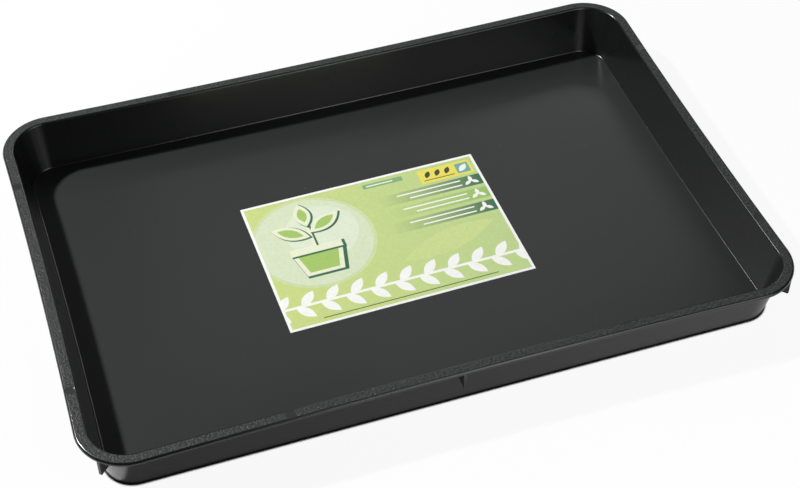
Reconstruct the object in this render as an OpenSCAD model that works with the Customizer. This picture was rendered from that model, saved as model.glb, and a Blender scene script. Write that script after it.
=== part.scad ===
// Garden tray: a shallow moulded tray with a flat rim, and a printed label stuck on its floor.
// Millimetres. +X runs along the tray, +Y across it to the back, +Z up.
// The origin is the middle of the underside, on the surface that the tray stands on.

/* [Tray] */
// Overall length over the rim
tray_l = 572; // [400:4:800]
// Overall width over the rim
tray_w = 392; // [280:4:600]
// Overall height, from the underside to the top of the rim
tray_h = 46; // [36:1:70]
// Radius of the rim's outer edge at the four corners
corner_r = 40.5; // [34:0.5:60]
// Thickness of the walls, measured level
wall_t = 1.9; // [1.4:0.1:2.6]
// Thickness of the floor
floor_t = 2; // [1.4:0.1:3]
// Draft of the walls, in degrees from upright
wall_draft = 11.7; // [6:0.1:14]
// Radius where the inner wall meets the floor
inner_fillet = 1.5; // [0.5:0.1:2.5]
// Radius of the outer edge round the underside
base_edge_r = 3; // [1:0.1:4]

/* [Rim] */
// Width of the rim's flat top, from the outer edge to the inner wall
rim_w = 9.4; // [9:0.1:12]
// Thickness of the rim
rim_t = 2; // [1.4:0.1:3]
// Radius of the inner top edge
rim_inner_r = 1.4; // [0.4:0.1:2]
// Radius of the outer top edge
rim_outer_r = 0.7; // [0.2:0.05:0.8]
// Radius of the outer lower edge
rim_lower_r = 0.3; // [0.1:0.05:0.5]
// Radius in the angle between the wall and the rim's underside
rim_root_r = 0.8; // [0.2:0.1:1.5]

/* [Stacking lugs] */
// Height of each lug below the rim
lug_h = 16; // [8:0.5:22]
// Thickness of each lug
lug_t = 2.2; // [1.4:0.1:3]
// Distance of a lug's outer edge in from the rim's outer edge
lug_inset = 0.3; // [0.1:0.1:1]
// Radius of a lug's lower outer corner
lug_corner_r = 0.8; // [0.2:0.1:2]

/* [Moulding marks] */
// Diameter of the round marks that the ejector pins leave on the rim
pin_d = 8; // [4:0.2:8.4]
// Depth of the pin marks
pin_depth = 0.2; // [0.1:0.05:0.4]
// Distance of a long side's pin marks in from the ends of its straight stretch
pin_in_long = 112.5; // [10:0.5:140]
// Distance of a short side's pin marks in from the ends of its straight stretch
pin_in_short = 40.5; // [10:0.5:90]
// Diameter of the dimple round the gate, under the floor
gate_d = 14; // [8:0.5:20]
// Depth of the gate dimple
gate_depth = 0.6; // [0.3:0.1:0.8]
// Diameter of the stub that is left where the gate was cut
gate_stub_d = 3; // [2:0.5:4]
// Distance that the gate stub stops short of the underside
gate_stub_gap = 0.2; // [0.05:0.05:0.25]

/* [Label] */
// Length of the label
label_l = 210; // [120:1:300]
// Width of the label
label_w = 148; // [80:1:200]
// Thickness of the printed sheet
label_t = 0.12; // [0.08:0.01:0.3]
// Thickness of the adhesive coat under the sheet
adhesive_t = 0.05; // [0.03:0.01:0.1]
// Distance that the adhesive stops short of the sheet's edge
adhesive_margin = 0.3; // [0.1:0.1:1]
// Offset of the label's middle along the tray
label_x = 0.7; // [-10:0.1:10]
// Offset of the label's middle across the tray
label_y = 0.5; // [-10:0.1:10]
// Turn of the label, as it was stuck on by hand, in degrees
label_turn = 0.9; // [-5:0.1:5]

/* [Hidden] */
// Smoothness of round forms, and number of steps in each rounded edge of an outline
$fn = 96;
edge_steps = 6;
// Overrun of cuts past the face that they open
overrun = 0.5;
// Distance that a drafted wall moves in for each millimetre down
wall_slope = tan(wall_draft);
// Height of the rim's underside
rim_under = tray_h - rim_t;
// Lengths of the straight stretches between the corners
straight_l = tray_l - 2 * corner_r;
straight_w = tray_w - 2 * corner_r;
// Heights of a lug's lower edge, and of its upper edge halfway up the rim that it joins
lug_low = rim_under - lug_h;
lug_top = rim_under + rim_t / 2;

// Distance in from the rim's outer edge to the inner and outer wall faces, at a height
function wall_inner(z) = rim_w + (tray_h - z) * wall_slope;
function wall_outer(z) = wall_inner(z) - wall_t;
function wall_middle(z) = wall_inner(z) - wall_t / 2;

function unit(v) = v / norm(v);

// The points of an arc of radius r that rounds the corner at v, between its neighbours a and b
function corner_arc(a, v, b, r) =
    let (
        ea = unit(a - v),
        eb = unit(b - v),
        half = acos(ea * eb) / 2,
        middle = v + unit(ea + eb) * r / sin(half),
        start = v + ea * r / tan(half) - middle,
        end = v + eb * r / tan(half) - middle,
        from = atan2(start.y, start.x),
        sweep = atan2(start.x * end.y - start.y * end.x, start * end)
    )
    [for (i = [0:edge_steps])
        let (t = from + sweep * i / edge_steps)
        middle + r * [cos(t), sin(t)]];

// A closed outline from corners given as [point, radius]; a radius of 0 stays sharp
function rounded(corners) =
    let (n = len(corners))
    [for (i = [0:n - 1])
        let (
            v = corners[i][0],
            r = corners[i][1],
            a = corners[(i + n - 1) % n][0],
            b = corners[(i + 1) % n][0]
        )
        each (r == 0 ? [v] : corner_arc(a, v, b, r))];

// Section through rim, wall and floor: x runs in from the rim's outer edge to the corner's centre
tray_section = rounded([
    [[0, tray_h], rim_outer_r],
    [[0, rim_under], rim_lower_r],
    [[wall_outer(rim_under), rim_under], rim_root_r],
    [[wall_outer(0), 0], base_edge_r],
    [[corner_r, 0], 0],
    [[corner_r, floor_t], 0],
    [[wall_inner(floor_t), floor_t], inner_fillet],
    [[rim_w, tray_h], rim_inner_r],
]);

// Outline of a lug: a web from the wall's middle out under the rim
lug_outline = rounded([
    [[lug_inset, lug_top], 0],
    [[lug_inset, lug_low], lug_corner_r],
    [[wall_middle(lug_low), lug_low], 0],
    [[wall_middle(lug_top), lug_top], 0],
]);

// Sets an upright outline standing across the tray, running in from +X at distance reach
module facing_in(reach) {
    translate([reach, 0, 0])
        rotate([90, 0, 180])
            children();
}

// One straight side, of the given length, with its outer edge at distance reach
module side(reach, length) {
    facing_in(reach)
        linear_extrude(height = length, center = true)
            polygon(tray_section);
}

// One corner, a quarter turn about its own centre; rounding can't carry a point past the axis
module corner() {
    rotate_extrude(angle = 90)
        polygon([for (p = tray_section) [max(0, corner_r - p.x), p.y]]);
}

module lug(reach) {
    facing_in(reach)
        linear_extrude(height = lug_t, center = true)
            polygon(lug_outline);
}

module shell() {
    for (turn = [0, 180])
        rotate([0, 0, turn]) {
            side(tray_l / 2, straight_w);
            rotate([0, 0, 90])
                side(tray_w / 2, straight_l);
            translate([straight_l / 2, straight_w / 2, 0])
                corner();
            translate([-straight_l / 2, straight_w / 2, 0])
                rotate([0, 0, 90])
                    corner();
        }
    translate([-straight_l / 2, -straight_w / 2, 0])
        cube([straight_l, straight_w, floor_t]);
}

module lugs() {
    for (side_y = [-1, 1]) {
        rotate([0, 0, 90 * side_y])
            lug(tray_w / 2);
        for (side_x = [-1, 1])
            translate([side_x * straight_l / 2, side_y * straight_w / 2, 0])
                rotate([0, 0, atan2(side_y, side_x)])
                    lug(corner_r);
    }
}

module pin_mark(x, y) {
    translate([x, y, tray_h - pin_depth])
        cylinder(d = pin_d, h = pin_depth + overrun);
}

module pin_marks() {
    for (side_x = [-1, 1], side_y = [-1, 1]) {
        pin_mark(side_x * (straight_l / 2 - pin_in_long), side_y * (tray_w - rim_w) / 2);
        pin_mark(side_x * (tray_l - rim_w) / 2, side_y * (straight_w / 2 - pin_in_short));
    }
}

// A shallow round dimple in the underside, with the gate's stub left standing in it
module gate_dimple() {
    difference() {
        translate([0, 0, -overrun])
            cylinder(d = gate_d, h = gate_depth + overrun);
        translate([0, 0, gate_stub_gap])
            cylinder(d = gate_stub_d, h = gate_depth);
    }
}

// Places a sheet of the label flat on the floor, at a height above it
module on_label_place(rise) {
    translate([label_x, label_y, floor_t + rise])
        rotate([0, 0, label_turn])
            children();
}

module sheet(length, width, thickness) {
    translate([-length / 2, -width / 2, 0])
        cube([length, width, thickness]);
}

module tray_moulding() {
    color("#2c2d2d")
        difference() {
            union() {
                shell();
                lugs();
            }
            pin_marks();
            gate_dimple();
        }
}

module label_adhesive() {
    color("#d9d6c4")
        on_label_place(0)
            sheet(label_l - 2 * adhesive_margin, label_w - 2 * adhesive_margin, adhesive_t);
}

module label_sheet() {
    color("#c3d77d")
        on_label_place(adhesive_t)
            sheet(label_l, label_w, label_t);
}

tray_moulding();
label_adhesive();
label_sheet();
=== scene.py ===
"""A black moulded garden tray with a printed label on its floor, photographed on white.

Everything is in metres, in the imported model's frame: X along the tray, Y across it, Z up,
with the origin in the middle of the underside.
"""
import math

import bpy
from mathutils import Matrix, Vector


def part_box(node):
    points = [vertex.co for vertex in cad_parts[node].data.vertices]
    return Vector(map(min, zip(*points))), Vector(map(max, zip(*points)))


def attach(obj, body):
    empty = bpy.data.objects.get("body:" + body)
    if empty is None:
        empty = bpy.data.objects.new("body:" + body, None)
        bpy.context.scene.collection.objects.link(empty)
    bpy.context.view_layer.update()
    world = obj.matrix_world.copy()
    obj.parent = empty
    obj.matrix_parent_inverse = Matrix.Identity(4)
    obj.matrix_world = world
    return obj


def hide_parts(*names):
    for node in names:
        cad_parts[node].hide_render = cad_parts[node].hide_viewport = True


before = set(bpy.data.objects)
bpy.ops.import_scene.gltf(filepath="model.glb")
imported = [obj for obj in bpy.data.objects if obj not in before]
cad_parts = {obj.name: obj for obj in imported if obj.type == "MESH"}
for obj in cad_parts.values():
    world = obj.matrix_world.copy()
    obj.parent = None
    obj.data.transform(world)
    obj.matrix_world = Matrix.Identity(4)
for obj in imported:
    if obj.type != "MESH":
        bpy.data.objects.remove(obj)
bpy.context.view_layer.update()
MM = 0.001

# Camera: a 75 mm lens that looks down at 45 degrees from the front left. Its place and angles
# come from fitting the tray's outline in the photograph, with the label as an A5 sheet.
camera_place = Vector((-0.2965, -0.9344, 0.9877))
camera_heading = math.radians(-18.35)
camera_down = math.radians(45.32)
camera_roll = math.radians(-0.41)

bpy.ops.object.camera_add(location=camera_place)
camera = bpy.context.object
camera.name = "camera"
camera.rotation_euler = (
    Matrix.Rotation(camera_heading, 3, "Z")
    @ Matrix.Rotation(math.pi / 2 - camera_down, 3, "X")
    @ Matrix.Rotation(camera_roll, 3, "Z")
).to_euler()
camera.data.sensor_width = 36
camera.data.lens = 74.95
bpy.context.scene.camera = camera
bpy.context.scene.view_settings.view_transform = "Standard"

# Studio: white paper under the tray, a small hard key lamp at the back left, four soft panels
# behind, three cards in front, and a dim room. To the camera the paper is nearly white but for the
# tray's shadow and a painted contact shadow. In the tray's gloss the paper's glow is painted light:
# darker, and least so at the right and beyond a painted shade in front of the tray.
paper_size = 12.0
paper_gap = 0.1 * MM
paper_white_to_camera = 0.92
# Painted light in the tray's gloss: the paper's glow rises from left to right, and is lit_gain times
# brighter beyond a painted shade of the tray in front of it
paper_gloss_left, paper_gloss_right = 0.0, 0.14
paper_gloss_reach = 0.3
lit_from, shaded_from = -235 * MM, -205 * MM
lit_gain = 6.0
# Painted contact shadow: how far the paper looks for the tray, and the shares of open sky at which the
# painted shade is darkest and at which it is gone
contact_reach = 3.0 * MM
contact_dark, contact_clear = 0.62, 0.86
paper_colour, painted_contact_shadow_colour = "#F0F0F0", "#2A2A2A"
room_light = 0.01


def linear(hex_colour):
    """Turns an sRGB hex colour into the linear colour, with alpha, that a shader socket takes"""
    shares = [int(hex_colour[i:i + 2], 16) / 255 for i in (1, 3, 5)]
    return [s / 12.92 if s <= 0.04045 else ((s + 0.055) / 1.055) ** 2.4 for s in shares] + [1]


def add_node(tree, kind, inputs=None, **settings):
    """Adds a shader node, sets its properties, and fills its inputs from values or other sockets"""
    node = tree.nodes.new(kind)
    for name, value in settings.items():
        setattr(node, name, value)
    for name, value in (inputs or {}).items():
        if isinstance(value, bpy.types.NodeSocket):
            tree.links.new(value, node.inputs[name])
        else:
            node.inputs[name].default_value = value
    return node


def new_material(name):
    """Makes a material with no nodes yet, and returns it with its node tree"""
    material = bpy.data.materials.new(name)
    material.use_nodes = True
    material.node_tree.nodes.clear()
    return material, material.node_tree


# A Mix node's sockets share their names, so they go by number: the two colours to mix and the
# mixed colour, and the two plain numbers to mix
tint_a, tint_b, mixed_tint = 6, 7, 2
level_a, level_b = 2, 3

bpy.ops.object.select_all(action="DESELECT")
bpy.ops.mesh.primitive_plane_add(size=paper_size, location=(0, 0, -paper_gap))
sweep = bpy.context.object
sweep.name = "white_sweep"

# Matt background paper, unrolled flat under the tray. Where the tray nearly touches it, little of
# the sky is open to it, and there a dark contact line is painted into the paper's colour and glow:
# a painted contact shadow. In front of the tray its glow in the tray's gloss is painted as well,
# dim at first as a painted shadow of the tray, and brighter beyond that.
matt_paper, tree = new_material("matt_background_paper")
ray = add_node(tree, "ShaderNodeLightPath")
open_sky = add_node(
    tree, "ShaderNodeAmbientOcclusion", {"Distance": contact_reach}, samples=8)
open_sky = add_node(
    tree, "ShaderNodeMapRange",
    {"Value": open_sky.outputs["AO"], "From Min": contact_dark, "From Max": contact_clear})
to_camera = add_node(
    tree, "ShaderNodeMath",
    {0: ray.outputs["Is Camera Ray"], 1: ray.outputs["Is Transmission Ray"]}, operation="ADD")
to_camera = add_node(
    tree, "ShaderNodeMath", {0: to_camera.outputs[0], 1: paper_white_to_camera},
    operation="MULTIPLY")
place = add_node(tree, "ShaderNodeTexCoord")
across = add_node(tree, "ShaderNodeSeparateXYZ", {0: place.outputs["Object"]})
# Painted glow for glossy rays: brighter to the right, and brighter beyond the painted shade in front
# of the tray
painted_gloss_glow = add_node(
    tree, "ShaderNodeMapRange",
    {"Value": across.outputs["X"], "From Min": -paper_gloss_reach, "From Max": paper_gloss_reach,
     "To Min": paper_gloss_left, "To Max": paper_gloss_right})
painted_shade_gain = add_node(
    tree, "ShaderNodeMapRange",
    {"Value": across.outputs["Y"], "From Min": lit_from, "From Max": shaded_from,
     "To Min": lit_gain, "To Max": 1.0})
painted_gloss_glow = add_node(
    tree, "ShaderNodeMath", {0: painted_gloss_glow.outputs[0], 1: painted_shade_gain.outputs[0]},
    operation="MULTIPLY")
glow_share = add_node(
    tree, "ShaderNodeMath",
    {0: ray.outputs["Is Glossy Ray"], 1: painted_gloss_glow.outputs[0], 2: to_camera.outputs[0]},
    operation="MULTIPLY_ADD")
# The glow is darkened where little sky is open: painted contact shadow
glow_share = add_node(
    tree, "ShaderNodeMath", {0: glow_share.outputs[0], 1: open_sky.outputs[0]}, operation="MULTIPLY")
# The paper's colour darkens to the painted contact shadow's colour where little sky is open
paper_with_painted_contact_shadow = add_node(
    tree, "ShaderNodeMix",
    {0: open_sky.outputs[0], tint_a: linear(painted_contact_shadow_colour), tint_b: linear(paper_colour)},
    data_type="RGBA")
paper = add_node(tree, "ShaderNodeBsdfDiffuse", {"Color": paper_with_painted_contact_shadow.outputs[mixed_tint]})
glow = add_node(tree, "ShaderNodeEmission", {"Color": linear("#FFFFFF"), "Strength": 1.0})
mix = add_node(
    tree, "ShaderNodeMixShader", {0: glow_share.outputs[0], 1: paper.outputs[0], 2: glow.outputs[0]})
add_node(tree, "ShaderNodeOutputMaterial", {"Surface": mix.outputs[0]})
sweep.data.materials.append(matt_paper)

# The room, dim to the tray and white to the camera
room = bpy.data.worlds.new("dim_room")
bpy.context.scene.world = room
room.use_nodes = True
tree = room.node_tree
tree.nodes.clear()
ray = add_node(tree, "ShaderNodeLightPath")
to_camera = add_node(
    tree, "ShaderNodeMath",
    {0: ray.outputs["Is Camera Ray"], 1: ray.outputs["Is Transmission Ray"]}, operation="ADD")
shown = add_node(
    tree, "ShaderNodeMapRange", {"Value": to_camera.outputs[0], "To Min": room_light, "To Max": 1.0})
sky = add_node(tree, "ShaderNodeBackground", {"Strength": shown.outputs[0]})
add_node(tree, "ShaderNodeOutputWorld", {"Surface": sky.outputs[0]})

# Each lamp: name, degrees to the right of straight back, degrees up, distance, width, height, and
# radiance, which the size turns into watts. The key draws the left wall's hard shadow and the white
# streak round the front left corner. The floor and the rim mirror the panels. The high card lights
# the front rim's edge, and the low ones the front and, by way of the floor, the back wall.
for name, heading, elevation, distance, width, tall, radiance in [
    ("key", -52.4, 47.5, 2.17, 0.12, 0.12, 1060.0),
    ("back_strip", 32, 30, 2.0, 0.9, 0.28, 3.2),
    ("back_right_panel", 32, 50, 2.0, 0.6, 0.8, 0.75),
    ("back_left_panel", 9, 46, 2.0, 0.5, 0.6, 0.75),
    ("back_low_panel", 13, 16, 2.0, 0.6, 0.6, 0.6),
    ("front_high_card", 155, 58, 1.2, 0.4, 0.4, 1.4),
    ("front_right_card", 150, 27, 0.9, 0.5, 0.6, 1.5),
    ("front_card", 170, 20, 0.88, 0.3, 0.4, 2.3),
]:
    around, up = math.radians(heading), math.radians(elevation)
    toward = Vector((math.sin(around) * math.cos(up), math.cos(around) * math.cos(up), math.sin(up)))
    bpy.ops.object.light_add(type="AREA", location=toward * distance)
    lamp = bpy.context.object
    lamp.name = name
    lamp.rotation_euler = toward.to_track_quat("Z", "Y").to_euler()
    lamp.data.shape = "RECTANGLE"
    lamp.data.size = width
    lamp.data.size_y = tall
    lamp.data.energy = radiance * math.pi * width * tall
    lamp.visible_camera = False

# Tray moulding: one shell of black polypropylene, injection moulded in a single shot. The walls
# bow inward as the moulding cools, the rim's long sides the most. Thin lugs under the rim keep
# stacked trays apart, and the ejector pins leave round marks in the rim.
tray_low, tray_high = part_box("tray_moulding")
tray_l, tray_w, tray_h = tray_high - tray_low
corner_r = 40.5 * MM
straight_l = tray_l - 2 * corner_r
straight_w = tray_w - 2 * corner_r
wall_t = 1.9 * MM
floor_t = 2.0 * MM
rim_w = 9.4 * MM
rim_t = 2.8 * MM
wall_draft = 11.7
wall_slope = math.tan(math.radians(wall_draft))
rim_under = tray_h - rim_t
well_depth = tray_h - floor_t


def outer_wall(height):
    """Distance of the outer wall in from the rim's outer edge, at a height"""
    return rim_w + (tray_h - height) * wall_slope - wall_t


def inward(point):
    """Distance of a point in from the rim's outer edge, as seen from above"""
    past_x = abs(point.x) - straight_l / 2
    past_y = abs(point.y) - straight_w / 2
    return corner_r - math.hypot(max(past_x, 0), max(past_y, 0)) - min(max(past_x, past_y), 0)


def pick(piece, kind, rule):
    """Selects the piece's faces, edges or vertices that follow the rule, and no others"""
    bpy.ops.object.mode_set(mode="EDIT")
    bpy.ops.mesh.select_mode(type=kind)
    bpy.ops.mesh.select_all(action="DESELECT")
    bpy.ops.object.mode_set(mode="OBJECT")
    mesh = piece.data
    for part in {"FACE": mesh.polygons, "EDGE": mesh.edges, "VERT": mesh.vertices}[kind]:
        part.select = rule(part)
    bpy.ops.object.mode_set(mode="EDIT")


# The rim is a plate with round corners. The well is sunk from its top by insets, and the outer
# walls are drawn down from its underside. The plate starts as a grid, whose outline keeps points
# along the straight sides, so that they can bow later.
points_along_l, points_along_w = 12, 8
corner_steps = 24
near_vertical = 0.9
bpy.ops.object.select_all(action="DESELECT")
bpy.ops.mesh.primitive_grid_add(
    x_subdivisions=points_along_l, y_subdivisions=points_along_w, size=1)
tray = bpy.context.object
tray.name = "tray_shell"
bpy.ops.object.mode_set(mode="EDIT")
bpy.ops.transform.resize(value=(tray_l, tray_w, 1))
bpy.ops.transform.translate(value=(0, 0, tray_h))
bpy.ops.mesh.dissolve_faces()
pick(tray, "VERT", lambda v: abs(v.co.x) > tray_l / 2 - MM and abs(v.co.y) > tray_w / 2 - MM)
bpy.ops.mesh.bevel(offset=corner_r, segments=corner_steps, affect="VERTICES")
bpy.ops.mesh.select_all(action="SELECT")
bpy.ops.mesh.extrude_region_move(TRANSFORM_OT_translate={"value": (0, 0, -rim_t)})
bpy.ops.mesh.select_all(action="SELECT")
bpy.ops.mesh.normals_make_consistent(inside=False)
pick(tray, "FACE", lambda f: f.normal.z > near_vertical)
bpy.ops.mesh.inset(thickness=rim_w)
bpy.ops.mesh.inset(thickness=well_depth * wall_slope, depth=-well_depth)
pick(tray, "FACE", lambda f: f.normal.z < -near_vertical)
bpy.ops.mesh.inset(thickness=outer_wall(rim_under))
bpy.ops.mesh.inset(thickness=rim_under * wall_slope, depth=rim_under)

# The edges' radii. The rim's thickness and its two upper radii are as large as the widths of the
# highlights along it ask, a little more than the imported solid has.
rim_outer_r, rim_lower_r = 2.2 * MM, 0.3 * MM
rim_inner_r, rim_root_r = 2.0 * MM, 0.8 * MM
floor_fillet_r, base_edge_r = 1.5 * MM, 3.0 * MM
rounding_steps = 6
level_slack, reach_slack = 0.1 * MM, 0.3 * MM

# Each ring of edges is rounded: its height, its distance in, its radius, and the angle of its
# section, which is square at the rim's outer edge and blunt along the drafted walls
square, blunt = 90, 90 + wall_draft
for height, reach, radius, angle in [
    (tray_h, 0, rim_outer_r, square),
    (rim_under, 0, rim_lower_r, square),
    (tray_h, rim_w, rim_inner_r, blunt),
    (rim_under, outer_wall(rim_under), rim_root_r, blunt),
    (floor_t, rim_w + well_depth * wall_slope, floor_fillet_r, blunt),
    (0, outer_wall(0), base_edge_r, blunt),
]:
    points = tray.data.vertices
    pick(tray, "EDGE", lambda e: all(
        abs(points[i].co.z - height) < level_slack
        and abs(inward(points[i].co) - reach) < reach_slack
        for i in e.vertices))
    bpy.ops.mesh.bevel(
        offset=radius / math.tan(math.radians(angle / 2)), segments=rounding_steps, affect="EDGES")

# The bow of the long and short sides, at the floor's level and then at the rim's: the middle of
# each side is pushed in, the rest follows in an even curve, and the other level is hidden
bow_split = 10 * MM
rim_bow = {"long": 2.95 * MM, "short": 1.9 * MM}
floor_bow = {"long": 0.63 * MM, "short": 1.64 * MM}
for low, high, bow in [(0, bow_split, floor_bow), (bow_split, tray_h, rim_bow)]:
    for length, axis, across, half in [
        ("long", 0, 1, straight_l / 2),
        ("short", 1, 0, straight_w / 2),
    ]:
        for side in (-1, 1):
            pick(tray, "VERT", lambda v: not low - MM < v.co.z < high + MM)
            bpy.ops.mesh.hide(unselected=False)
            bpy.ops.object.mode_set(mode="OBJECT")
            for point in tray.data.vertices:
                point.select = (
                    not point.hide and abs(point.co[axis]) < MM and point.co[across] * side > 0)
            bpy.ops.object.mode_set(mode="EDIT")
            push = [0, 0, 0]
            push[across] = -side * bow[length]
            bpy.ops.transform.translate(
                value=push, use_proportional_edit=True,
                proportional_edit_falloff="INVERSE_SQUARE", proportional_size=half)
            bpy.ops.mesh.reveal(select=False)
bpy.ops.object.mode_set(mode="OBJECT")

# One lug is shaped from a block, with its outer edge towards +X and the rim's edge at X = 0. Its
# copies stand at the middle of the long sides, set in by the bow, and across the four corners.
lug_reach_down = 18 * MM
lug_low = tray_h - lug_reach_down
lug_top = rim_under + rim_t / 2
lug_t = 2.2 * MM
lug_inset = 0.3 * MM
lug_root = 0.6 * MM
lug_corner_r = 0.8 * MM
lug_corner_steps = 4
lug_l = outer_wall(lug_top) + lug_root - lug_inset
bpy.ops.object.select_all(action="DESELECT")
bpy.ops.mesh.primitive_cube_add(size=1)
lug = bpy.context.object
bpy.ops.object.mode_set(mode="EDIT")
bpy.ops.transform.resize(value=(lug_l, lug_t, lug_top - lug_low))
bpy.ops.transform.translate(value=(-lug_inset - lug_l / 2, 0, (lug_top + lug_low) / 2))
pick(lug, "VERT", lambda v: v.co.x < -lug_l / 2 and v.co.z < lug_low + MM)
bpy.ops.transform.translate(value=(-(lug_top - lug_low) * wall_slope, 0, 0))
points = lug.data.vertices
pick(lug, "EDGE", lambda e: all(
    points[i].co.x > -lug_inset - level_slack and points[i].co.z < lug_low + MM
    for i in e.vertices))
bpy.ops.mesh.bevel(offset=lug_corner_r, segments=lug_corner_steps, affect="EDGES")
bpy.ops.object.mode_set(mode="OBJECT")
for x, y, reach in [
    (0, 1, tray_w / 2 - rim_bow["long"]),
    (0, -1, tray_w / 2 - rim_bow["long"]),
    (1, 1, corner_r),
    (-1, 1, corner_r),
    (1, -1, corner_r),
    (-1, -1, corner_r),
]:
    outward = Vector((x, y, 0)).normalized()
    corner_middle = Vector((x * straight_l / 2, y * straight_w / 2 if x else 0, 0))
    copy = lug.copy()
    copy.data = lug.data.copy()
    bpy.context.collection.objects.link(copy)
    copy.location = corner_middle + outward * reach
    copy.rotation_euler.z = math.atan2(y, x)
    copy.select_set(True)
lug.select_set(False)
bpy.context.view_layer.objects.active = copy
bpy.ops.object.join()
bpy.ops.object.transform_apply()
all_lugs = bpy.context.object
bpy.data.objects.remove(lug)


def cut_or_join(piece, tool, operation):
    """Joins the tool's solid to the piece, or cuts it away, and removes the tool"""
    bpy.ops.object.select_all(action="DESELECT")
    bpy.context.view_layer.objects.active = piece
    piece.select_set(True)
    change = piece.modifiers.new("change", "BOOLEAN")
    change.operation = operation
    change.solver = "EXACT"
    change.object = tool
    bpy.ops.object.modifier_apply(modifier="change")
    bpy.data.objects.remove(tool)


cut_or_join(tray, all_lugs, "UNION")

# Ejector-pin marks: shallow round hollows with sloping sides in the rim's top. They follow the
# bow, which is a parabola along each side, deepest in the middle.
pin_r = 4.0 * MM
pin_floor_r = 3.4 * MM
pin_depth = 0.2 * MM
pin_sides = 48
pin_in_long, pin_in_short = 112.5 * MM, 40.5 * MM
pin_along_long = straight_l / 2 - pin_in_long
pin_along_short = straight_w / 2 - pin_in_short
bow_at_long_pin = rim_bow["long"] * (1 - (2 * pin_along_long / straight_l) ** 2)
bow_at_short_pin = rim_bow["short"] * (1 - (2 * pin_along_short / straight_w) ** 2)
pin_y = (tray_w - rim_w) / 2 - bow_at_long_pin
pin_x = (tray_l - rim_w) / 2 - bow_at_short_pin
pin_overrun = 1 * MM
pin_slope = (pin_r - pin_floor_r) / pin_depth
for x, y in [(pin_along_long, pin_y), (pin_x, pin_along_short)]:
    for side_x in (-1, 1):
        for side_y in (-1, 1):
            bpy.ops.object.select_all(action="DESELECT")
            bpy.ops.mesh.primitive_cone_add(
                vertices=pin_sides, radius1=pin_floor_r, radius2=pin_r + pin_slope * pin_overrun,
                depth=pin_depth + pin_overrun,
                location=(side_x * x, side_y * y, tray_h + (pin_overrun - pin_depth) / 2))
            cut_or_join(tray, bpy.context.object, "DIFFERENCE")

# Under the floor, a dimple keeps the cut gate's stub off whatever the tray stands on
gate_r, gate_roof_r, gate_depth = 7.0 * MM, 6.4 * MM, 0.6 * MM
stub_r, stub_gap = 1.5 * MM, 0.2 * MM
gate_sides, stub_sides = 64, 32
bpy.ops.object.select_all(action="DESELECT")
bpy.ops.mesh.primitive_cone_add(
    vertices=gate_sides, radius1=2 * gate_r - gate_roof_r, radius2=gate_roof_r,
    depth=2 * gate_depth)
cut_or_join(tray, bpy.context.object, "DIFFERENCE")
bpy.ops.object.select_all(action="DESELECT")
bpy.ops.mesh.primitive_cylinder_add(
    vertices=stub_sides, radius=stub_r, depth=gate_depth,
    location=(0, 0, stub_gap + gate_depth / 2))
cut_or_join(tray, bpy.context.object, "UNION")

# Edges that turn by less than 20 degrees are rounded ones
sharp_from = math.radians(20)
bpy.ops.object.select_all(action="DESELECT")
bpy.context.view_layer.objects.active = tray
tray.select_set(True)
bpy.ops.object.shade_smooth_by_angle(angle=sharp_from)
even_shading = tray.modifiers.new("even_shading", "WEIGHTED_NORMAL")
even_shading.keep_sharp = True
bpy.ops.object.modifier_apply(modifier="even_shading")

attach(tray, "root")
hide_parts("tray_moulding")

# Polypropylene filled with carbon black: deep black and satin. The walls, moulded against polished
# steel so that they draw, mirror near edges softly. The mould's floor was finely blasted, which
# spreads the light in a haze, and its rim was etched, so the rim's flat is finely mottled. The
# gloss is that of a thin smooth skin, with polypropylene's own index. The core under it has a lower
# one, because it adds only haze.
wall_black, flat_black = "#1A1B1B", "#2B2C2C"
etched_dark, etched_pale = "#2A2B2B", "#424444"
rub_grey, soil_grey = "#4A4C4B", "#8E8B84"
wall_rough, flat_rough, etched_rough = (0.26, 0.3), (0.43, 0.46), 0.06
wall_skin, flat_skin, etched_skin = 0.93, 0.37, -0.25
skin_ior, skin_rough, core_ior = 1.49, 0.2, 1.29
black_pp, tree = new_material("injection_moulded_polypropylene")

# A flat is where the surface faces straight up or nearly so, and the rim's flat is the one on top
flat_from, flat_to = 0.965, 0.985
top_slack = 0.1 * MM
coordinates = add_node(tree, "ShaderNodeTexCoord")
place = coordinates.outputs["Object"]
height = add_node(tree, "ShaderNodeSeparateXYZ", {0: place}).outputs["Z"]
facing = add_node(tree, "ShaderNodeSeparateXYZ", {0: coordinates.outputs["Normal"]}).outputs["Z"]
on_flat = add_node(
    tree, "ShaderNodeMapRange",
    {"Value": facing, "From Min": flat_from, "From Max": flat_to}).outputs[0]
at_top = add_node(
    tree, "ShaderNodeMath", {0: height, 1: tray_h - top_slack}, operation="GREATER_THAN")
on_rim = add_node(
    tree, "ShaderNodeMath", {0: on_flat, 1: at_top.outputs[0]}, operation="MULTIPLY").outputs[0]

# The etched grain is a fraction of a millimetre across, and is drawn 2 mm wide so that it shows
rim_grain_mm = 2.0
grain = add_node(
    tree, "ShaderNodeTexNoise",
    {"Vector": place, "Scale": 1 / (rim_grain_mm * MM), "Detail": 2.0, "Roughness": 0.6}).outputs[0]

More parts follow.
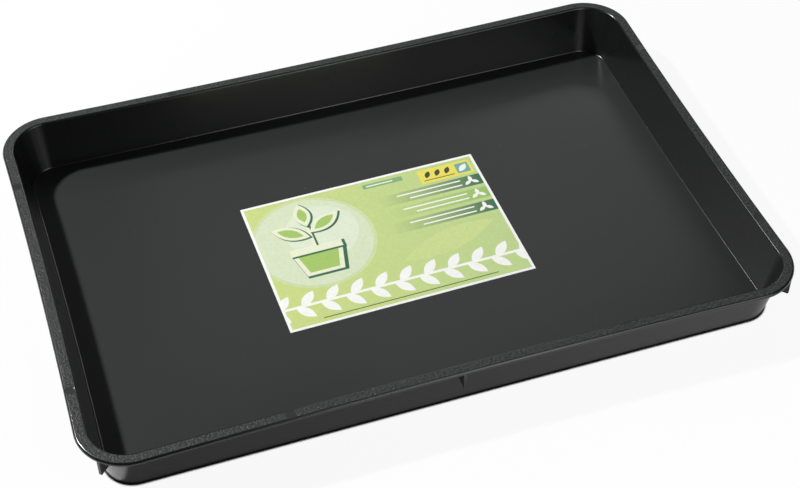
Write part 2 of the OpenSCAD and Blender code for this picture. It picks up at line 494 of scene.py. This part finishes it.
# The skin's roughness drifts a little over each 60 mm or so, where the wall cooled unevenly, and
# etching adds to it. On the blasted flats the skin counts for less, and least on the etched rim.
# Nearly all values of a noise lie between the low and the high one.
sink_mm = 60
noise_low, noise_high = 0.3, 0.7
sink = add_node(
    tree, "ShaderNodeTexNoise", {"Vector": place, "Scale": 1 / (sink_mm * MM), "Detail": 2.0})
on_wall_rough, on_flat_rough = [
    add_node(
        tree, "ShaderNodeMapRange",
        {"Value": sink.outputs[0], "From Min": noise_low, "From Max": noise_high,
         "To Min": least, "To Max": most})
    for least, most in (wall_rough, flat_rough)]
roughness = add_node(
    tree, "ShaderNodeMix",
    {0: on_flat, level_a: on_wall_rough.outputs[0], level_b: on_flat_rough.outputs[0]},
    data_type="FLOAT")
roughness = add_node(
    tree, "ShaderNodeMath", {0: on_rim, 1: etched_rough, 2: roughness.outputs[0]},
    operation="MULTIPLY_ADD")
skin = add_node(
    tree, "ShaderNodeMapRange", {"Value": on_flat, "To Min": wall_skin, "To Max": flat_skin})
skin = add_node(
    tree, "ShaderNodeMath", {0: on_rim, 1: etched_skin, 2: skin.outputs[0]},
    operation="MULTIPLY_ADD")

# Rubs: in about one 70 mm patch in three, a cluster of short fine streaks, 8 mm long at most
patch_mm, rub_reach_mm, streak_w_mm, streak_l_mm = 70, 8, 0.9, 6
rub_patches = 0.38
streak_from, streak_to = 0.54, 0.66
patch = add_node(
    tree, "ShaderNodeTexVoronoi", {"Vector": place, "Scale": 1 / (patch_mm * MM)})
patch_random = add_node(tree, "ShaderNodeSeparateXYZ", {0: patch.outputs["Color"]})
rub_near = add_node(
    tree, "ShaderNodeMapRange",
    {"Value": patch.outputs["Distance"], "From Min": 0, "From Max": rub_reach_mm / patch_mm,
     "To Min": 1, "To Max": 0})
rub_here = add_node(
    tree, "ShaderNodeMath", {0: patch_random.outputs["X"], 1: 1 - rub_patches},
    operation="GREATER_THAN")
streak_turn = add_node(
    tree, "ShaderNodeMath", {0: patch_random.outputs["Y"], 1: math.pi}, operation="MULTIPLY")
streak_axes = add_node(
    tree, "ShaderNodeVectorRotate", {"Vector": place, "Angle": streak_turn.outputs[0]},
    rotation_type="Z_AXIS")
streak_axes = add_node(
    tree, "ShaderNodeVectorMath",
    {0: streak_axes.outputs[0],
     1: (1 / (streak_w_mm * MM), 1 / (streak_l_mm * MM), 1 / (streak_l_mm * MM))},
    operation="MULTIPLY")
streaks = add_node(
    tree, "ShaderNodeTexNoise", {"Vector": streak_axes.outputs[0], "Scale": 1.0, "Detail": 3.0})
streaks = add_node(
    tree, "ShaderNodeMapRange",
    {"Value": streaks.outputs[0], "From Min": streak_from, "From Max": streak_to})
rub = add_node(
    tree, "ShaderNodeMath", {0: rub_near.outputs[0], 1: rub_here.outputs[0]}, operation="MULTIPLY")
rub = add_node(
    tree, "ShaderNodeMath", {0: rub.outputs[0], 1: streaks.outputs[0]}, operation="MULTIPLY")

# Specks of dust and potting soil, up to a millimetre across, in one 15 mm patch in twelve
speck_patch_mm, speck_r_mm, speck_core_mm = 15, 0.45, 0.18
speck_patches = 0.08
specks = add_node(
    tree, "ShaderNodeTexVoronoi", {"Vector": place, "Scale": 1 / (speck_patch_mm * MM)})
speck_random = add_node(tree, "ShaderNodeSeparateXYZ", {0: specks.outputs["Color"]})
speck_here = add_node(
    tree, "ShaderNodeMath", {0: speck_random.outputs["X"], 1: 1 - speck_patches},
    operation="GREATER_THAN")
speck = add_node(
    tree, "ShaderNodeMapRange",
    {"Value": specks.outputs["Distance"], "From Min": speck_core_mm / speck_patch_mm,
     "From Max": speck_r_mm / speck_patch_mm, "To Min": 1, "To Max": 0})
speck = add_node(
    tree, "ShaderNodeMath", {0: speck.outputs[0], 1: speck_here.outputs[0]}, operation="MULTIPLY")

# The colours, each laid over the one before: the black of the walls and flats, the etched rim's
# mottle, the rubs and the specks
mottle_from, mottle_to = 0.35, 0.65
colour = add_node(
    tree, "ShaderNodeMix",
    {0: on_flat, tint_a: linear(wall_black), tint_b: linear(flat_black)},
    data_type="RGBA").outputs[mixed_tint]
mottle = add_node(
    tree, "ShaderNodeMapRange", {"Value": grain, "From Min": mottle_from, "From Max": mottle_to})
mottle = add_node(
    tree, "ShaderNodeMix",
    {0: mottle.outputs[0], tint_a: linear(etched_dark), tint_b: linear(etched_pale)},
    data_type="RGBA").outputs[mixed_tint]
for share, over in [
    (on_rim, mottle),
    (rub.outputs[0], linear(rub_grey)),
    (speck.outputs[0], linear(soil_grey)),
]:
    colour = add_node(
        tree, "ShaderNodeMix", {0: share, tint_a: colour, tint_b: over},
        data_type="RGBA").outputs[mixed_tint]

# The grain's relief is drawn deeper than it is, as the grain is drawn wider
etching_height = 1.0 * MM
relief = add_node(
    tree, "ShaderNodeBump", {"Height": grain, "Strength": on_rim, "Distance": etching_height})
surface = add_node(
    tree, "ShaderNodeBsdfPrincipled",
    {"Base Color": colour, "Roughness": roughness.outputs[0], "IOR": core_ior,
     "Coat Weight": skin.outputs[0], "Coat Roughness": skin_rough, "Coat IOR": skin_ior,
     "Normal": relief.outputs[0], "Coat Normal": relief.outputs[0]})
add_node(tree, "ShaderNodeOutputMaterial", {"Surface": surface.outputs[0]})
tray.data.materials.clear()
tray.data.materials.append(black_pp)

# Label adhesive: a clear acrylic film coated on the back of the sheet, a little smaller than it,
# that holds the sheet to the floor. It shows only from close by, as a thin line under the sheet.
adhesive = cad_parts["label_adhesive"]
clear_acrylic, tree = new_material("clear_acrylic_adhesive")
place = add_node(tree, "ShaderNodeTexCoord")
coating_streak_mm = 4.0
film_pale, film_dark = "#D9D6C4", "#CFCBB4"
film_rough, acrylic_ior = 0.3, 1.47
streaks = add_node(
    tree, "ShaderNodeTexNoise",
    {"Vector": place.outputs["Object"], "Scale": 1 / (coating_streak_mm * MM), "Detail": 2.0})
tint = add_node(
    tree, "ShaderNodeMix",
    {0: streaks.outputs[0], tint_a: linear(film_pale), tint_b: linear(film_dark)},
    data_type="RGBA")
surface = add_node(
    tree, "ShaderNodeBsdfPrincipled",
    {"Base Color": tint.outputs[mixed_tint], "Roughness": film_rough, "IOR": acrylic_ior})
add_node(tree, "ShaderNodeOutputMaterial", {"Surface": surface.outputs[0]})
adhesive.data.materials.clear()
adhesive.data.materials.append(clear_acrylic)

# Label: an A5 sheet of coated paper, printed in offset inks inside a white border, cut with a
# blade and stuck on by hand, just off the tray's middle and a little turned. The design is a
# plain one of a potted seedling, shaded bands and a leafy border.
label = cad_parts["label_sheet"]
label_l_mm, label_w_mm, border_mm = 210, 148, 2.4
label_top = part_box("label_sheet")[1].z
label_place = (0.7 * MM, 0.5 * MM, 0)
label_turn = math.radians(0.9)
ink_edge_mm = 0.1
pot_taper = 0.16


def print_shape(tree, page, under, form, x, y, turn, wide, high, ink):
    """Prints a flat shape, placed in millimetres on the page, over the colours under it"""
    place = add_node(
        tree, "ShaderNodeMapping",
        {"Vector": page, "Location": (x, y, 0), "Rotation": (0, 0, math.radians(turn)),
         "Scale": (wide / 2, high / 2, 1)},
        vector_type="TEXTURE")
    signed = add_node(tree, "ShaderNodeSeparateXYZ", {0: place.outputs[0]})
    folded = add_node(tree, "ShaderNodeVectorMath", {0: place.outputs[0]}, operation="ABSOLUTE")
    folded = add_node(tree, "ShaderNodeSeparateXYZ", {0: folded.outputs[0]})
    across, up = folded.outputs["X"], folded.outputs["Y"]

    # How far a point lies past the shape's edge, in half millimetres
    edge = 2 * ink_edge_mm
    if form in ("disc", "leaf"):
        if form == "disc":
            reach = add_node(
                tree, "ShaderNodeVectorMath", {0: place.outputs[0]}, operation="LENGTH")
            reach = reach.outputs["Value"]
        else:
            reach = add_node(
                tree, "ShaderNodeMath", {0: across, 1: across, 2: up}, operation="MULTIPLY_ADD")
            reach = reach.outputs[0]
        narrow = min(wide, high)
        past = add_node(
            tree, "ShaderNodeMath", {0: reach, 1: narrow, 2: -narrow}, operation="MULTIPLY_ADD")
    else:
        if form == "pot":
            across = add_node(
                tree, "ShaderNodeMath", {0: signed.outputs["Y"], 1: -pot_taper, 2: across},
                operation="MULTIPLY_ADD").outputs[0]
        past_x = add_node(
            tree, "ShaderNodeMath", {0: across, 1: wide, 2: -wide}, operation="MULTIPLY_ADD")
        past_y = add_node(
            tree, "ShaderNodeMath", {0: up, 1: high, 2: -high}, operation="MULTIPLY_ADD")
        past = add_node(
            tree, "ShaderNodeMath", {0: past_x.outputs[0], 1: past_y.outputs[0]},
            operation="MAXIMUM")
    inked = add_node(
        tree, "ShaderNodeMapRange",
        {"Value": past.outputs[0], "From Min": -edge, "From Max": edge, "To Min": 1, "To Max": 0})
    share = inked.outputs[0]
    if form == "fading bar":
        fade = add_node(tree, "ShaderNodeMapRange", {"Value": signed.outputs["X"], "From Min": -1})
        share = add_node(
            tree, "ShaderNodeMath", {0: share, 1: fade.outputs[0]}, operation="MULTIPLY").outputs[0]
    return add_node(
        tree, "ShaderNodeMix", {0: share, tint_a: under, tint_b: linear(ink)},
        data_type="RGBA").outputs[mixed_tint]


printed_paper, tree = new_material("printed_coated_paper")
place = add_node(tree, "ShaderNodeTexCoord")
page = add_node(
    tree, "ShaderNodeMapping",
    {"Vector": place.outputs["Object"], "Location": label_place, "Rotation": (0, 0, label_turn),
     "Scale": (MM, MM, MM)},
    vector_type="TEXTURE")
page = add_node(
    tree, "ShaderNodeVectorMath", {0: page.outputs[0], 1: (1, 1, 0)}, operation="MULTIPLY").outputs[0]
page_part = add_node(tree, "ShaderNodeSeparateXYZ", {0: page})

# The ground shades from yellow-green at the left to a cooler green at the right
ground_left, ground_right = "#CFDE88", "#C2D992"
ground = add_node(
    tree, "ShaderNodeMapRange",
    {"Value": page_part.outputs["X"], "From Min": -label_l_mm / 2, "From Max": label_l_mm / 2})
art = add_node(
    tree, "ShaderNodeMix",
    {0: ground.outputs[0], tint_a: linear(ground_left), tint_b: linear(ground_right)},
    data_type="RGBA").outputs[mixed_tint]

# The design, in millimetres from the page's middle: form, place, turn in degrees, size and ink
deep_green, leaf_green, cream, white = "#2F6B4A", "#A9CB6A", "#EFF3D6", "#FCFDF8"
dark_olive = "#3A4429"
shapes = [
    # A pale disc with the potted seedling, each part outlined, on the left
    ("disc", -57, 17, 0, 106, 106, "#D3E2AC"),
    ("disc", -57, 17, 0, 100, 100, "#DCE8C6"),
    ("disc", -47, 26, 0, 62, 62, "#E5EED6"),
    ("pot", -56, -8, 0, 41, 29, deep_green),
    ("pot", -57.5, -6.5, 0, 38, 27, cream),
    ("pot", -57.5, -6.5, 0, 30, 20, leaf_green),
    ("bar", -56, 7.5, 0, 47, 9, deep_green),
    ("bar", -57.5, 9, 0, 45, 8, cream),
    ("bar", -56.5, 26, 0, 4.5, 28, deep_green),
    ("bar", -57.5, 26, 0, 3, 28, cream),
]
outline_wide, outline_high, outline_shift = 2, 1.5, 1
margin_wide, margin_high = 11, 6
for x, y, turn, wide, high in [(-73, 32, 150, 34, 15), (-42, 37, 30, 34, 15), (-57.5, 50, 90, 28, 14)]:
    shapes += [
        ("leaf", x + outline_shift, y - outline_shift, turn, wide + outline_wide,
         high + outline_high, deep_green),
        ("leaf", x, y, turn, wide, high, cream),
        ("leaf", x, y, turn, wide - margin_wide, high - margin_high, leaf_green),
    ]
# A soft leaf in the ground, and three bands on the right, each with a sprig and two plain rules
shapes += [("leaf", 50, -19, 14, 90, 24, "#CFE093")]
for y, band_ink in [(42, deep_green), (25, "#9CC468"), (8, deep_green)]:
    shapes += [
        ("fading bar", 56, y, 0, 94, 13, band_ink),
        ("leaf", 93, y + 2.6, 90, 7.5, 3.6, white),
        ("leaf", 89.8, y - 1.6, 215, 7.5, 3.6, white),
        ("leaf", 96.2, y - 1.6, -35, 7.5, 3.6, white),
        ("bar", 55, y + 2.8, 0, 58, 1.5, white),
        ("bar", 60, y - 2.8, 0, 48, 1.5, white),
    ]
# A yellow patch with a leaf on a blue-green square and a row of dark leaves, and a small tab
shapes += [
    ("bar", 76, 60, 0, 48, 17, "#F2E45E"),
    ("bar", 92, 60, 0, 12, 12, "#74B0A6"),
    ("leaf", 92, 60, 45, 11, 5.5, white),
    ("leaf", 60, 61.5, 60, 9, 4.5, dark_olive),
    ("leaf", 69, 61.5, 60, 9, 4.5, dark_olive),
    ("leaf", 78, 61.5, 60, 9, 4.5, dark_olive),
    ("bar", 69, 54.8, 0, 28, 0.9, dark_olive),
    ("bar", 20, 65, 0, 36, 5.5, "#86B67A"),
    ("bar", 17, 65, 0, 24, 1.3, white),
    ("bar", 0, -67.5, 0, 150, 0.9, "#46562F"),
]
for form, x, y, turn, wide, high, ink in shapes:
    art = print_shape(tree, page, art, form, x, y, turn, wide, high, ink)

# The leafy border runs from edge to edge: one pair of leaves on a stem, repeated along the page
sprig_pitch = 21
repeat = add_node(
    tree, "ShaderNodeMath",
    {0: page_part.outputs["X"], 1: sprig_pitch / 2, 2: -sprig_pitch / 2}, operation="WRAP")
strip = add_node(tree, "ShaderNodeCombineXYZ", {"X": repeat.outputs[0], "Y": page_part.outputs["Y"]})
for form, x, y, turn, wide, high, ink in [
    ("bar", 0, -50, 0, 2 * sprig_pitch, 2.6, white),
    ("leaf", 2.5, -43.5, 48, 20, 8.5, white),
    ("leaf", -2.5, -56.5, -48, 20, 8.5, white),
]:
    art = print_shape(tree, strip.outputs[0], art, form, x, y, turn, wide, high, ink)

# The print stops at the white border, and the cut edges of the sheet are bare paper too
bare_paper = "#FCFDFA"
top_print_slack = 0.01 * MM
page_folded = add_node(tree, "ShaderNodeVectorMath", {0: page}, operation="ABSOLUTE")
page_folded = add_node(tree, "ShaderNodeSeparateXYZ", {0: page_folded.outputs[0]})
on_sheet = add_node(tree, "ShaderNodeSeparateXYZ", {0: place.outputs["Object"]})
printed = add_node(
    tree, "ShaderNodeMath", {0: on_sheet.outputs["Z"], 1: label_top - top_print_slack},
    operation="GREATER_THAN")
for axis, length in [("X", label_l_mm), ("Y", label_w_mm)]:
    within = add_node(
        tree, "ShaderNodeMath", {0: page_folded.outputs[axis], 1: length / 2 - border_mm},
        operation="LESS_THAN")
    printed = add_node(
        tree, "ShaderNodeMath", {0: printed.outputs[0], 1: within.outputs[0]}, operation="MULTIPLY")
art = add_node(
    tree, "ShaderNodeMix",
    {0: printed.outputs[0], tint_a: linear(bare_paper), tint_b: art},
    data_type="RGBA").outputs[mixed_tint]

# Offset ink takes a little unevenly, in clouds some 3 mm across, and the paper has a fine tooth,
# drawn 0.8 mm wide so that it shows at this distance
ink_cloud_mm, paper_tooth_mm, tooth_depth_mm = 3.0, 0.8, 0.02
ink_thin, ink_full = 0.955, 1.02
print_gloss, print_dull = 0.38, 0.5
tooth_strength = 0.25
paper_ior = 1.5
clouds = add_node(
    tree, "ShaderNodeTexNoise",
    {"Vector": place.outputs["Object"], "Scale": 1 / (ink_cloud_mm * MM), "Detail": 3.0})
ink_level = add_node(
    tree, "ShaderNodeMapRange",
    {"Value": clouds.outputs[0], "From Min": noise_low, "From Max": noise_high,
     "To Min": ink_thin, "To Max": ink_full})
art = add_node(
    tree, "ShaderNodeVectorMath", {0: art, "Scale": ink_level.outputs[0]},
    operation="SCALE").outputs[0]
tooth = add_node(
    tree, "ShaderNodeTexNoise",
    {"Vector": place.outputs["Object"], "Scale": 1 / (paper_tooth_mm * MM), "Detail": 4.0})
relief = add_node(
    tree, "ShaderNodeBump",
    {"Height": tooth.outputs[0], "Strength": tooth_strength, "Distance": tooth_depth_mm * MM})
roughness = add_node(
    tree, "ShaderNodeMapRange",
    {"Value": clouds.outputs[0], "To Min": print_gloss, "To Max": print_dull})
surface = add_node(
    tree, "ShaderNodeBsdfPrincipled",
    {"Base Color": art, "Roughness": roughness.outputs[0], "IOR": paper_ior,
     "Normal": relief.outputs[0]})
add_node(tree, "ShaderNodeOutputMaterial", {"Surface": surface.outputs[0]})
label.data.materials.clear()
label.data.materials.append(printed_paper)
